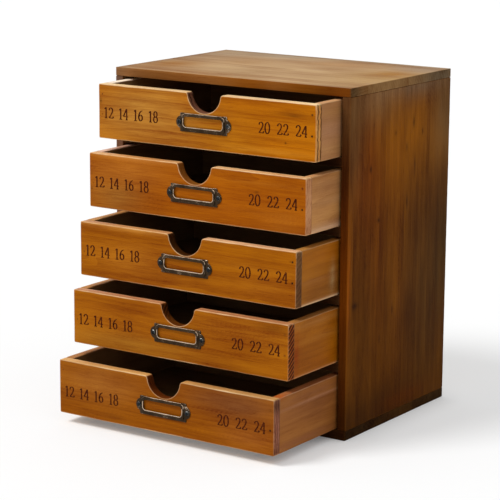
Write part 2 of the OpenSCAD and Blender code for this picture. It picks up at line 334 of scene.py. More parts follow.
# rotary-cut plywood, sanded only: broad wandering figure, quite dull
thinPlywood = woodMaterial("rotaryCutPlywood", {
    "ring": 11.0, "bend": 60.0, "knots": 0.2, "rings": 0.3, "endRings": 0.6, "fibres": 0.4, "streaks": 0.4,
    "blotches": 0.5, "dashes": 0.2, "deep": "#a07850", "lift": 1.1, "worn": "#c89860", "wear": 0.4,
    "wearWidth": 0.5, "rough": 0.6, "shine": 0.1})
# sunk nail heads that the stain has run over: a shade off the wood around them, without its figure
stainedOver = woodMaterial("stainedOverNailHeads", {
    "ring": 5.0, "bend": 1.0, "base": 0.2, "rings": 0.0, "endRings": 0.0, "fibres": 0.6, "streaks": 0.0,
    "blotches": 0.6, "dashes": 0.0, "deep": "#a06428", "lift": 1.1, "worn": "#c88c48", "wear": 0.5,
    "wearWidth": 0.2, "rough": 0.5, "shine": 0.06})


# speckles and clouds of tarnish in millimetres, how far they shift the polish, where polish starts and is
# full, and the roughness there
tarnished = {"speckle": 1.3, "cloud": 7.0, "shift": 0.28, "polish": (0.3, 0.85), "rough": 0.28}


def metalMaterial(name, recipe):
    # Old plated sheet or wire: dark tarnish in the hollows, bright where its attribute says, partly rubbed
    # and partly a painted highlight
    material, tree, shader = newMaterial(name, {"Metallic": 1.0})
    add = partial(addNode, tree)
    place = add("TexCoord", out=3)
    rubbedAndHighlit = add("Attribute", out=2, attribute_name="rubbedAndHighlit")
    speckle = add("TexNoise", {"Vector": place, "Scale": 1 / (tarnished["speckle"] * mm), "Detail": 4.0})
    cloud = add("TexNoise", {"Vector": place, "Scale": 1 / (tarnished["cloud"] * mm), "Detail": 2.0})
    lift = add("Math", [speckle, cloud], operation="ADD")
    lift = add("MapRange", [lift, 0.75, 1.25, -tarnished["shift"], tarnished["shift"]])
    bright = add("Math", [rubbedAndHighlit, lift], operation="ADD", use_clamp=True)
    bright = add("MapRange", [bright, *tarnished["polish"]], interpolation_type="SMOOTHSTEP")
    tarnish = add("Mix", {0: cloud, 6: colour(recipe["dark"]), 7: colour(recipe["mid"])}, out=2,
                  data_type="RGBA")
    body = add("Mix", {0: bright, 6: tarnish, 7: colour(recipe["bright"])}, out=2, data_type="RGBA")
    rough = add("MapRange", {0: bright, 3: recipe["rough"], 4: tarnished["rough"]})
    bump = add("Bump", {"Height": speckle, "Strength": 0.3, "Distance": 0.08 * mm})
    for socket, source in {"Base Color": body, "Roughness": rough, "Normal": bump}.items():
        tree.links.new(source, shader.inputs[socket])
    return material


# sheet brass, pressed, darkened and tumbled: brown-black hollows, pale beads and edges, partly rubbed, partly
# painted highlights
antiqueBrass = metalMaterial("antiquedPressedBrass", {
    "dark": "#20180f", "mid": "#4e3e2e", "bright": "#ccb49a", "rough": 0.45})
# turned steel heads gone dull: blue-grey, a little brighter round the rim as a painted highlight
dulledSteel = metalMaterial("dulledScrewSteel", {
    "dark": "#16181a", "mid": "#383b3c", "bright": "#a8a6a0", "rough": 0.4})
# drawn wire, oxidised: dark brown-grey and rough
nailSteel = metalMaterial("oxidisedNailWire", {
    "dark": "#241a14", "mid": "#4a3a30", "bright": "#8a7c70", "rough": 0.55})
print("materials: wood, plywood and metal")


# Boards

# how far the faces lie inside the board's box, and the height and length of their waves
sanding = {"depth": 0.07, "waves": (0.025, 60)}
# radius of the edges in parts of "ease", its waves and limits, and the rows round them
rounding = {"share": 0.68, "waves": (0.22, 28), "limits": (0.3, 0.95), "steps": 5}
clouding = (0.15, 22)  # waves in the clouds of stain
# how far hands reach from the upper edge and from the notch, how worn the notch's own wall is, and the rest;
# the upper edge's wear is partly a painted highlight
wearing = {"fromTop": 6, "besideNotch": 4, "inNotch": 0.15, "elsewhere": 0.3}


def gridLines(low, high, spacing, extra=()):
    # Lines from low to high: even ones, closer ones near both ends, and the extra ones
    near = np.array([0, 0.5, 1.5, 3.5])
    near = near[near < (high - low) / 3]
    even = np.linspace(low + near[-1], high - near[-1], max(2, round((high - low) / spacing)))
    lines = np.sort(np.concatenate([low + near, high - near, even, np.asarray(extra, float)]))
    lines = lines[np.insert(np.diff(lines) > 0.01, 0, True)]
    lines[-1] = high
    return lines


def upperEdge(low, high, top, inset, spacing, extra, notch):
    # Upper edge of a board, moved into the wood by inset: for each column its place along and across, and
    # its direction out of the wood. A notch is a half circle whose shoulders are arcs that touch it.
    if notch is None:
        along = gridLines(low + inset, high - inset, spacing, extra)
        return along, np.full(len(along), top - inset), np.tile([0.0, 1.0], (len(along), 1))
    middle = (low + high) / 2
    reach = notch["radius"] + notch["shoulder"]
    centre = np.sqrt(reach ** 2 - notch["shoulder"] ** 2)
    touch = np.arcsin(centre / reach)
    inNotch = np.linspace(0, touch, notch["steps"])
    onShoulder = np.linspace(touch, 0, notch["steps"] // 2)[1:]
    beyond = [x for x in extra if x > middle + centre]
    straight = gridLines(middle + centre, high - inset, spacing, beyond)[1:]
    turn = np.concatenate([inNotch, onShoulder, np.zeros(len(straight))])
    along = np.concatenate([(notch["radius"] + inset) * np.sin(inNotch),
                            centre - (notch["shoulder"] - inset) * np.sin(onShoulder), straight - middle])
    across = np.concatenate([top - (notch["radius"] + inset) * np.cos(inNotch),
                             top - notch["shoulder"] + (notch["shoulder"] - inset) * np.cos(onShoulder),
                             np.full(len(straight), top - inset)])
    out = np.stack([-np.sin(turn), np.cos(turn)], -1)
    mirrored = (out * [-1, 1])[:0:-1]
    return (middle + np.concatenate([-along[:0:-1], along]), np.concatenate([across[:0:-1], across]),
            np.concatenate([mirrored, out]))


def makeBoard(name, low, high, axes, look, notch=None, rebate=None, marks=(), marked="low"):
    # A board as two faces, each a grid along and across the grain, and a wall carried round them. The wall
    # turns into each face over a quarter round, whose radius wanders as hand sanding leaves it. axes says
    # which of X, Y and Z run along the grain, across it and through the board. marks are knots and nail
    # holes in the face called marked: place along and across, reaches, how dark, how deep the dent.
    alongAxis, acrossAxis, throughAxis = axes
    a0, c0, t0 = low[list(axes)]
    a1, c1, t1 = high[list(axes)]
    ease = look["ease"]
    marks = np.reshape(marks, (-1, 6))
    ring = np.array([-2, -1.2, -0.6, 0, 0.6, 1.2, 2])  # lines round a mark, in parts of its reach
    columnsWanted = (marks[:, :1] + ring * marks[:, 2:3]).ravel()
    rowsWanted = (marks[:, 1:2] + ring * marks[:, 3:4]).ravel()
    if notch:
        columnsWanted = np.concatenate([columnsWanted, a0 + a1 - columnsWanted])
    if rebate:
        rowsWanted = np.append(rowsWanted, [rebate["from"] - 0.02, rebate["from"] + 0.02])
        columnsWanted = np.append(columnsWanted, [x + d for x in rebate["between"] for d in (-0.02, 0.02)])
    columnsWanted = columnsWanted[(columnsWanted > a0 + 1.1 * ease) & (columnsWanted < a1 - 1.1 * ease)]
    rowsWanted = rowsWanted[(rowsWanted > c0 + 1.1 * ease) & (rowsWanted < c1 - 1.1 * ease)]
    along, topLine, topOut = upperEdge(a0, a1, c1, ease, look["spacing"], columnsWanted, notch)
    rows = gridLines(c0 + ease, c1 - ease, look["spacing"], rowsWanted)
    share = (rows - rows[0]) / (rows[-1] - rows[0])
    faceAlong = np.repeat(along[:, None], len(rows), 1)
    faceAcross = rows[0] + share * (topLine[:, None] - rows[0])

    i, j = rimOf(*faceAlong.shape)
    out = np.stack([np.where(i == 0, -1.0, np.where(i == len(along) - 1, 1.0, 0.0)),
                    np.where(j == 0, -1.0, 0.0)], -1)
    out = np.where((j == len(rows) - 1)[:, None], out + topOut[i], out)
    out /= np.linalg.norm(out, axis=1, keepdims=True)
    rim = np.stack([faceAlong[i, j], faceAcross[i, j]], -1)

    def inward(a, c, face):
        # How far a face lies inside the board's box: sanding and a rebate; the dents round nail heads are
        # added after
        height, length = sanding["waves"]
        depth = sanding["depth"] + height * (1 + ripple(np.stack([a, c], -1), length, look["seed"] + 1))
        if rebate and rebate["face"] == face:
            inside = (c > rebate["from"]) & (a > rebate["between"][0]) & (a < rebate["between"][1])
            depth = depth + rebate["depth"] * inside
        return depth

    def markedAt(a, c, face, column):
        # Bells round the marks, each as high as the given column of its row says
        if face != marked:
            return np.zeros(a.shape)
        place = np.stack([a, c], -1)[..., None, :]
        away = (((place - marks[:, :2]) / marks[:, 2:4]) ** 2).sum(-1)
        return (marks[:, column] * np.exp(-away)).max(-1, initial=0)

    height, length = rounding["waves"]
    radius = rounding["share"] + height * ripple(rim, length, look["seed"] + 2)
    radius = ease * radius.clip(*rounding["limits"])
    turn = np.linspace(0, np.pi / 2, rounding["steps"])[:, None]
    lowWall = t0 + inward(*rim.T, "low")
    highWall = t1 - inward(*rim.T, "high")
    lowTurn = lowWall + radius * (1 - np.cos(turn))
    highTurn = (highWall - radius * (1 - np.cos(turn)))[::-1]
    span = np.linspace(0, 1, 4)[1:-1, None]
    wallThrough = np.concatenate([lowTurn, lowTurn[-1] + span * (highTurn[0] - lowTurn[-1]), highTurn])
    offset = ease - radius + radius * np.sin(turn)
    wallOffset = np.concatenate([offset, np.full((2, len(i)), ease), offset[::-1]])
    wallAlong = rim[:, 0] + wallOffset * out[:, 0]
    wallAcross = rim[:, 1] + wallOffset * out[:, 1]
    steep = np.concatenate([np.sin(turn), np.ones((2, 1)), np.sin(turn)[::-1]]) * np.ones(len(i))

    def stack(lower, wall, upper):
        return np.concatenate([lower.ravel(), wall.ravel(), upper.ravel()])

    face = (faceAlong, faceAcross)
    lowFace = t0 + inward(*face, "low") + markedAt(*face, "low", 5)
    highFace = t1 - inward(*face, "high") - markedAt(*face, "high", 5)
    a = stack(faceAlong, wallAlong, faceAlong)
    c = stack(faceAcross, wallAcross, faceAcross)
    t = stack(lowFace, wallThrough, highFace)
    points = np.empty((len(a), 3))
    points[:, alongAxis], points[:, acrossAxis], points[:, throughAxis] = a, c, t

    # distance to the nearest edge, in millimetres
    toEdge = np.minimum.reduce([faceAlong - a0, a1 - faceAlong, faceAcross - c0, c1 - faceAcross])
    if notch:
        toNotch = np.hypot(faceAlong - (a0 + a1) / 2, c1 - faceAcross) - notch["radius"]
        toEdge = np.minimum(toEdge, np.maximum(toNotch, 0))
    corners = np.array([[a0, c0], [a1, c0], [a0, c1], [a1, c1]])
    place = np.stack([wallAlong, wallAcross], -1)
    toCorner = np.linalg.norm(place[:, :, None] - corners, axis=-1).min(-1)
    wallToEdge = np.minimum.reduce([wallThrough - t0, t1 - wallThrough, toCorner])

    zero = np.zeros(faceAlong.shape)
    end = stack(zero, steep * out[:, 0] ** 2, zero)
    edge = stack(zero, steep * out[:, 1] ** 2, zero)
    plain, side, butt = (np.array(colour(look[part])) for part in ("face", "edge", "end"))
    # the inner face takes its own colour; in the drawers it is darker, a painted shade for their dark inside
    inner = stack(zero + (marked == "high"), np.zeros(steep.shape), zero + (marked == "low"))
    plain = plain + inner[:, None] * (np.array(colour(look.get("inner", look["face"]))) - plain)
    tint = plain + edge[:, None] * (side - plain) + end[:, None] * (butt - plain)
    height, length = clouding
    cloudy = 1 - height + height * ripple(np.stack([a / 3, c], -1), length, look["seed"] + 3)
    for middleAlong, middleAcross, reachAlong, reachAcross, code, strength in look.get("patches", ()):
        # a cloud of colour, partly in the stain and partly painted light, sheen or shade, as each board's
        # list has it: its weight falls off as a bell along and across the grain
        away = ((a - a0 - middleAlong) / reachAlong) ** 2 + ((c - c0 - middleAcross) / reachAcross) ** 2
        weight = np.where((end > 0.5) | (inner > 0), 0, strength * np.exp(-away) * cloudy)
        tint = tint + weight[:, None] * (np.array(colour(code)) - tint)
    for middleAcross, reachAcross, code, strength in look.get("endPatches", ()):
        away = ((c - c0 - middleAcross) / reachAcross) ** 2
        weight = np.where(end > 0.5, strength * np.exp(-away) * cloudy, 0)
        tint = tint + weight[:, None] * (np.array(colour(code)) - tint)
    # the notch's own walls take a darker colour: cut grain, deepened by painted shade inside the notch
    if notch:
        beside = np.abs(a - (a0 + a1) / 2) - notch["radius"]
        inNotch = (beside < 1) & (edge + end > 0.6) & (c > c0 + 10)
        tint = np.where(inNotch[:, None], colour(look["notchWall"]), tint)
    # hands wear the stain off the upper edge and round the notch, and little elsewhere; the pale upper edge
    # is partly a painted highlight
    upper = stack(c1 - topLine[:, None] * np.ones(len(rows)), np.zeros(wallAcross.shape), zero)
    fromTop = c1 - c - np.where(upper > ease + 0.01, upper, 0)
    handled = look.get("handled", wearing["elsewhere"])
    upperEdgeWearAndHighlight = look.get("upper", 1.0) if acrossAxis == 2 else handled
    handlingAndHighlight = handled + (upperEdgeWearAndHighlight - handled) * np.clip(1 - fromTop / wearing["fromTop"], 0, 1)
    if notch:
        handlingAndHighlight = np.where(beside < wearing["besideNotch"], 1, handlingAndHighlight)
        handlingAndHighlight = np.where(inNotch, wearing["inNotch"], handlingAndHighlight)
    dark = stack(markedAt(*face, "low", 4), np.zeros(steep.shape), markedAt(*face, "high", 4))
    return makePiece(name, points, slabQuads(*faceAlong.shape, len(wallOffset)), {
        "grain": ("FLOAT_VECTOR", np.stack([a - a0, c - c0, t - t0], -1)),
        "boardSeed": ("FLOAT", np.full(len(a), look["seed"] % 97 / 97)),
        "rimDistance": ("FLOAT", stack(toEdge, wallToEdge, toEdge)),
        "handlingAndHighlight": ("FLOAT", handlingAndHighlight),
        "endGrain": ("FLOAT", end),
        "darkMark": ("FLOAT", dark),
        "crackAt": ("FLOAT", np.full(len(a), look.get("crackAt", -20.0))),
        "hatch": ("FLOAT_VECTOR", np.tile(look.get("hatch", (0.0, 0.0, 0.0)), (len(a), 1))),
        "tint": ("FLOAT_COLOR", tint)})


# Cabinet

cabinet = {
    "ease": 0.8, "spacing": 6.0, "seed": 11,
    # the top's pale greyish face and its greyer clouds are partly a painted sheen, which its nearly shineless
    # material does not give
    "top": {"face": "#b2926a", "edge": "#8e4e04", "end": "#80603c", "handled": 0.1,
            "patches": [(240, 85, 50, 60, "#a27e48", 0.8), (233, 155, 30, 30, "#a5937d", 0.9),
                        (16, 96, 30, 28, "#9a7c5c", 0.85), (20, 145, 30, 26, "#9c8468", 0.85),
                        (75, 160, 60, 24, "#9c8870", 0.85), (26, 46, 27, 36, "#8e5a18", 1.0),
                        (228, 104, 18, 24, "#986418", 0.9), (155, 138, 40, 16, "#a8763c", 0.4),
                        (0, 90, 8, 90, "#846648", 0.85), (125, 178, 220, 12, "#8f8068", 0.8),
                        (75, 100, 20, 20, "#a47c4c", 0.5), (175, 12, 20, 8, "#c8a880", 0.6),
                        (110, 50, 30, 30, "#a4845c", 0.5), (80, 8, 50, 14, "#ae8454", 0.6),
                        (0, 0, 36, 2, "#886848", 0.9), (45, 0, 20, 2, "#8a5a2c", 0.7),
                        (238, 0, 42, 2, "#643610", 0.85)],
            "endPatches": [(4, 12, "#483c2a", 0.85), (165, 45, "#5c5648", 0.85)]},
    # the side's clouds are partly stain, partly painted light and shade: lighter towards its upper end,
    # darker towards the floor
    "side": {"face": "#663a06", "edge": "#4c2408", "end": "#4a2c16", "handled": 0.35, "inner": "#64482a",
             "patches": [(254, 112, 50, 45, "#a0600a", 0.75), (282, 40, 20, 50, "#785c38", 0.7),
                         (294, 110, 12, 70, "#7c6850", 0.85), (232, 75, 60, 22, "#90540a", 0.6),
                         (142, 85, 110, 10, "#804806", 0.6), (222, 30, 60, 30, "#7c3c06", 0.7),
                         (142, 50, 70, 14, "#743c06", 0.5), (102, 140, 110, 42, "#4c3010", 0.9),
                         (142, 172, 60, 20, "#46381c", 0.6), (7, 40, 20, 60, "#341c06", 0.85),
                         (8, 100, 8, 40, "#6c3400", 0.75), (120, 2, 50, 3, "#a45408", 0.75),
                         (66, 22, 64, 28, "#502c06", 0.75), (262, 168, 44, 26, "#64492a", 0.85),
                         (255, 8, 45, 14, "#5c4428", 0.6)],
             # knots: along, across, reaches, how dark
             "knots": [(227, 36, 3.2, 1.7, 0.95), (180, 51, 2.0, 2.4, 0.8), (260, 110, 5.0, 1.6, 0.75),
                       (110, 13, 2.8, 5.0, 0.8), (189, 100, 6.0, 1.7, 0.65), (222, 113, 7.0, 1.3, 0.55),
                       (239, 98, 3.5, 1.5, 0.55), (250, 126, 3.0, 1.5, 0.55), (254, 78, 2.2, 1.7, 0.55),
                       (95, 78, 4.0, 1.5, 0.6), (72, 56, 4.0, 1.5, 0.5), (142, 30, 3.0, 1.3, 0.45)]},
    # the shelves' front edges: dark stain deepened by painted shade, as the open drawers overhang them
    "shelf": {"face": "#82603a", "edge": "#3a2210", "end": "#4a2c16"},
    "base": {"face": "#4c2c0c", "edge": "#3c220c", "end": "#3e2a12",
             "endPatches": [(10, 30, "#32200e", 0.6), (90, 40, "#4c2c0a", 0.6)]},
    "panel": {"face": "#8a6238", "edge": "#8a6238", "end": "#7a5630"},
}
alongX, alongXflat, alongY, alongZ = (0, 2, 1), (0, 1, 2), (1, 2, 0), (2, 1, 0)


def lookOf(group, part, number=0):
    # What makeBoard needs to know of one board of a group
    return {**group[part], "ease": group["ease"], "spacing": group["spacing"],
            "seed": group["seed"] + 37 * number + 5 * sum(map(ord, part))}


panelLow, panelHigh = boxOf("back_panel")
throat = boxOf("right_side")[0][0]  # half the width of the space between the side boards
rebate = {"depth": panelHigh[0] - throat, "from": panelLow[1], "between": (-1e3, 1e3)}
stopped = {**rebate, "between": (panelLow[0], panelHigh[0])}
for part, node, axes, cut, wood in (
        ("top", "top_board", alongXflat, {**stopped, "face": "low"}, waxedPine),
        ("base", "base_board", alongXflat, {**stopped, "face": "high"}, walnutPine),
        ("side", "left_side", alongZ, {**rebate, "face": "high"}, walnutPine),
        ("side", "right_side", alongZ, {**rebate, "face": "low"}, walnutPine)):
    low, high = boxOf(node)
    look = lookOf(cabinet, part, node.startswith("left"))
    knots = [(low[2] + a, low[1] + c, da, dc, dark, 0) for a, c, da, dc, dark in look.get("knots", ())]
    if node == "left_side":
        # the other side comes from the same boards, end for end
        look["patches"] = [(high[2] - patch[0], *patch[1:5], 0.6 * patch[5]) for patch in look["patches"]]
        look["edge"] = "#6e5444"
        knots = [(high[2] + low[2] - knot[0], *knot[1:]) for knot in knots]
    outer = "low" if node == "left_side" else "high"
    board = makeBoard(node + "Board", low, high, axes, look, rebate=cut, marks=knots, marked=outer)
    settle(board, "cabinet", wood, [node])
for number in drawerNumbers[:-1]:
    low, high = boxOf(f"shelf_{number}")
    low[0], high[0] = -throat, throat
    board = makeBoard(f"shelf{number}Board", low, high, alongXflat, lookOf(cabinet, "shelf", number))
    settle(board, "cabinet", walnutPine, [f"shelf_{number}"])
board = makeBoard("backPanelSheet", panelLow, panelHigh, alongZ, {**lookOf(cabinet, "panel"), "ease": 0.4})
settle(board, "cabinet", thinPlywood, ["back_panel"])
pinMaterials = frame["nodes"]["back_panel_pins"].data.materials
pinMaterials.clear()
pinMaterials.append(nailSteel)
print("cabinet: boards, shelves and back panel")


# Drawers

drawers = {
    "ease": 1.0, "spacing": 5.0, "seed": 301,
    "notch": {"radius": 17.25, "shoulder": 3.0, "steps": 18},
    # marks besides the nails: place from the middle and above the lower edge, reaches, how dark, how deep
    # the cream edge colour of the fronts, along the grain, is partly wear, partly a painted highlight
    "front": [
        {"face": "#a25e04", "edge": "#f4d8a4", "end": "#c48c4c", "crackAt": 4.6,
         "notchWall": "#6c4430", "heads": ("#8c5008", "#7c4410", "#2c1404", "#643408"),
         "marks": [(84.7, 14.0, 0.9, 0.9, 0.8, 0), (93.0, 37.5, 6.0, 0.8, 0.3, 0),
                   (-112.6, 34.0, 1.2, 2.0, 0.55, 0)],
         # the pale cloud over the left part is a painted sheen
         "patches": [(50, 25, 60, 30, "#b4843a", 0.7), (200, 10, 50, 14, "#b06604", 0.6),
                     (205, 39, 16, 2.5, "#643004", 0.75), (170, 44, 60, 6, "#9c5404", 0.5),
                     (140, 10, 30, 14, "#a86c10", 0.5), (190, 16, 40, 1.6, "#8c4c04", 0.45),
                     (180, 5, 50, 1.4, "#c08428", 0.45)]},
        {"face": "#985204", "edge": "#ecc48c", "end": "#b8845a",
         "notchWall": "#84501c", "heads": ("#8c4c08", "#8c4c08", "#341804", "#702c04"),
         "marks": [(65.0, 32.0, 2.4, 1.2, 0.45, 0), (-112.6, 16.5, 0.9, 1.2, 0.5, 0),
                   (-112.6, 31.0, 0.8, 1.2, 0.3, 0)],
         # the two paler clouds on the left are a painted sheen
         "patches": [(30, 12, 30, 16, "#9a6c2c", 0.7), (40, 36, 50, 12, "#ac6c28", 0.5),
                     (50, 49, 60, 3, "#bc7a34", 0.85), (140, 25, 60, 20, "#a05404", 0.4),
                     (210, 8, 24, 10, "#9c5c18", 0.5), (175, 15, 45, 1.5, "#84440a", 0.45),
                     (185, 40, 40, 2, "#b06c18", 0.4)]},
        {"face": "#945404", "edge": "#dcb084", "end": "#74502e", "hatch": (0.22, -0.14, 0.3),
         "notchWall": "#44260c", "heads": ("#8c5008", "#8c5008", "#241004", "#3c1c08"),
         "marks": [(109.0, 40.2, 1.2, 0.6, 0.5, 0)],
         "patches": [(120, 36, 100, 3, "#844404", 0.4), (50, 49, 60, 3, "#c4883c", 0.8),
                     (60, 20, 40, 14, "#ac6c1c", 0.6), (200, 12, 40, 10, "#9c5c14", 0.5),
                     (100, 8, 40, 8, "#8c5010", 0.4), (180, 16, 50, 1.5, "#7c4404", 0.45),
                     (190, 29, 45, 1.6, "#ac6c14", 0.4)]},
        {"face": "#9a5a08", "edge": "#c48c60", "end": "#a8561a", "hatch": (0.25, -0.2, 0.85),
         "notchWall": "#6a3a10", "heads": ("#905408", "#905408", "#884c08", "#884c08"),
         "patches": [(40, 38, 50, 8, "#844404", 0.6), (60, 8, 70, 8, "#a07024", 0.6),
                     (190, 38, 50, 12, "#a86c1c", 0.4), (215, 44, 16, 4, "#5c3008", 0.5)]},
        {"face": "#8c4e04", "edge": "#dcac68", "end": "#a87058", "hatch": (0.03, 0.3, 0.4),
         "endPatches": [(43, 7, "#4c2810", 0.9), (3, 5, "#6c3c1c", 0.7)],
         "notchWall": "#602e0c", "heads": ("#884c08", "#884c08", "#341804", "#7c440c"),
         "patches": [(45, 35, 40, 16, "#a46c2c", 0.7), (62, 5.5, 14, 3, "#5c2804", 0.6),
                     (55, 12, 40, 8, "#784008", 0.5), (190, 40, 50, 14, "#70482c", 0.7),
                     (205, 12, 30, 10, "#985c28", 0.5)]}],
    # painted highlights: the near-white left edges (leftEdge) and the cream lines along the lower edges; the
    # other pale edges are partly wear, partly painted highlight
    "side": [
        {"face": "#a67448", "edge": "#cc9c6c", "leftEdge": "#fff0d8", "end": "#a07048",
         "patches": [(30, 8, 60, 2, "#bc9058", 0.6), (30, 40, 60, 3, "#b08048", 0.5),
                     (20, 25, 30, 8, "#a4785c", 0.5)]},
        {"face": "#b68048", "edge": "#dcaa74", "leftEdge": "#dcb49c", "end": "#a07048",
         "patches": [(60, 13, 60, 3, "#d4a060", 0.6), (60, 2, 80, 2.5, "#e8c8a8", 0.7),
                     (60, 38, 60, 8, "#a87c58", 0.5), (60, 25, 60, 4, "#ac8460", 0.5)]},
        {"face": "#9c5e12", "edge": "#b07c3c", "leftEdge": "#c89454", "end": "#8a5c30",
         "patches": [(60, 40, 60, 8, "#a45c06", 0.7), (49, 17, 4, 12, "#c0a878", 0.8),
                     (60, 30, 50, 1.5, "#8c5008", 0.6), (60, 8, 60, 8, "#8c602c", 0.5),
                     (60, 0.5, 80, 1.3, "#e8c8a0", 0.9), (30, 20, 40, 1.5, "#a87038", 0.6)]},
        {"face": "#a05e0c", "edge": "#a8743c", "leftEdge": "#c48c4c", "end": "#80502a",
         "patches": [(3, 20, 4.5, 18, "#983c00", 0.9), (60, 0.5, 80, 1, "#d8a070", 0.8),
                     (50, 44, 60, 3, "#b07838", 0.6), (50, 38, 60, 1.5, "#80480c", 0.5),
                     (60, 30, 60, 3, "#a86c28", 0.5), (60, 16, 40, 1.2, "#804808", 0.6),
                     (60, 8, 50, 6, "#985000", 0.6)]},
        {"face": "#965e2c", "edge": "#a8683c", "leftEdge": "#bc8448", "end": "#80502a",
         "patches": [(60, 32, 70, 3, "#784424", 0.7), (60, 37, 70, 1.2, "#b88460", 0.7),
                     (60, 42, 60, 2, "#8c5834", 0.6), (60, 22, 60, 1.5, "#80481c", 0.6),
                     (40, 14, 60, 6, "#a4682c", 0.6), (30, 5, 50, 2, "#8c5438", 0.6),
                     (4, 50, 5, 2.5, "#c86008", 0.8)]}],
    "sideWear": {"handled": 0.05, "upper": 0.35},  # how worn the sides are: at their edges, at the upper one
    # painted shade: the drawers' inner faces are darker than their outer ones
    "inner": "#8c6a42",
    "back": {"face": "#9a6a3c", "edge": "#a87444", "end": "#8a5c34"},
    "bottom": {"face": "#8c6a42", "edge": "#8a6238", "end": "#7a5630"},
}
nail = {
    "rows": (22.0, 40.0), "fromEnd": 4.0,  # heights over the drawer's lower edge, and distance from its ends
    # the dent round a head: its reach and depth, how dark it is in the front's right end and in the sides;
    # the stain over the heads in the sides
    "reach": 1.5, "dent": 0.08, "frontDark": 0.25, "sideDark": 0.3, "sideHead": "#6a4420",
    "wander": 0.05, "around": 16,
    # radius and depth under the wood's face, from the middle of the head to the point
    "profile": [(0.0, 0.13), (0.5, 0.12), (0.9, 0.14), (1.05, 0.2), (1.1, 0.35), (1.1, 0.8), (0.7, 0.85),
                (0.7, 8.0), (0.7, 15.0), (0.7, 22.6), (0.35, 24.2), (0.0, 24.9)],
}


def makeNails(name, places, headings, codes, seed):
    # Turned about their own lines; the stain covers each head in its own colour
    radius, depth = np.array(nail["profile"]).T[..., None]
    turn = np.linspace(0, 2 * np.pi, nail["around"], endpoint=False)
    points, tints = [], []
    for place, heading, code in zip(places, headings, codes):
        one = np.cross(heading, (0, 0, 1))
        circle = np.stack([np.cos(turn), np.sin(turn), turn * 0 + len(points)], -1)
        wander = 1 + nail["wander"] * ripple(circle, 2.5, seed)
        outwards = np.cos(turn)[:, None] * one + np.sin(turn)[:, None] * (0, 0, 1)
        spread = radius[..., None] * wander[:, None] * outwards
        points.append((place + np.multiply.outer(depth[:, 0], heading)[:, None] + spread).reshape(-1, 3))
        tints.append(np.tile(colour(code), (len(points[-1]), 1)))
    rings = np.arange(len(points[0])).reshape(-1, len(turn))
    quads = np.concatenate([quadsBetween(rings) + number * rings.size for number in range(len(points))])
    points = np.concatenate(points)
    piece = makePiece(name, points, quads, {
        "grain": ("FLOAT_VECTOR", points), "rimDistance": ("FLOAT", np.full(len(points), 3.0)),
        "tint": ("FLOAT_COLOR", np.concatenate(tints))})
    finishEdges(piece, 40)
    return piece


for number in drawerNumbers:
    body = f"drawer_{number}"
    common = {part: drawers[part] for part in ("ease", "spacing", "inner")}
    seed = drawers["seed"] + 17 * number
    frontLow, frontHigh = boxOf(body + "_front")
    look = {**drawers["front"][number - 1], **common, "seed": seed}
    nailX = frontHigh[0] - nail["fromEnd"]
    heights = frontLow[2] + np.array(nail["rows"])
    places = [(x, frontLow[1], z) for x in (-nailX, nailX) for z in heights]
    reach, dent = nail["reach"], nail["dent"]
    marks = [(x, z, reach, reach, nail["frontDark"] * (x > 0), dent) for x, y, z in places]
    marks += [(x, frontLow[2] + z, *rest) for x, z, *rest in look.get("marks", ())]
    front = makeBoard(f"drawer{number}Front", frontLow, frontHigh, alongX, look, notch=drawers["notch"],
                      marks=marks)
    settle(front, body, honeyPine, [body + "_front"])
    headings, codes = [(0, 1, 0)] * 4, list(look["heads"])
    for part, outer, inwards in (("left", "low", 1), ("right", "high", -1)):
        low, high = boxOf(f"{body}_{part}_side")
        look = {**drawers["side"][number - 1], **drawers["sideWear"], **common, "seed": seed + ord(part[0])}
        if part == "left":
            look.update({"patches": (), "edge": look["leftEdge"]})
        nailY = high[1] - nail["fromEnd"]
        marks = [(nailY, z, reach, reach, nail["sideDark"], dent) for z in heights]
        side = makeBoard(f"drawer{number}{part.title()}Side", low, high, alongY, look, marks=marks,
                         marked=outer)
        settle(side, body, tanPine, [f"{body}_{part}_side"])
        places += [(low[0] if part == "left" else high[0], nailY, z) for z in heights]
        headings += [(inwards, 0, 0)] * 2
        codes += [nail["sideHead"]] * 2
    nails = makeNails(f"drawer{number}NailRow", np.array(places), np.array(headings, float), codes,
                      200 + number)
    settle(nails, body, stainedOver, [body + "_nails"])
    low, high = boxOf(body + "_back")
    look = {**drawers["back"], **common, "seed": seed + 5}
    back = makeBoard(f"drawer{number}Back", low, high, alongX, look, marked="high")
    settle(back, body, tanPine, [body + "_back"])
    hollow = high[0]
    low, high = boxOf(body + "_bottom")
    low[0], high[0] = -hollow, hollow
    look = {**drawers["bottom"], **common, "ease": 0.3, "seed": seed + 9}
    bottom = makeBoard(f"drawer{number}Bottom", low, high, alongXflat, look)
    settle(bottom, body, thinPlywood, [body + "_bottom"])
print("drawers: boxes")


# Label holders

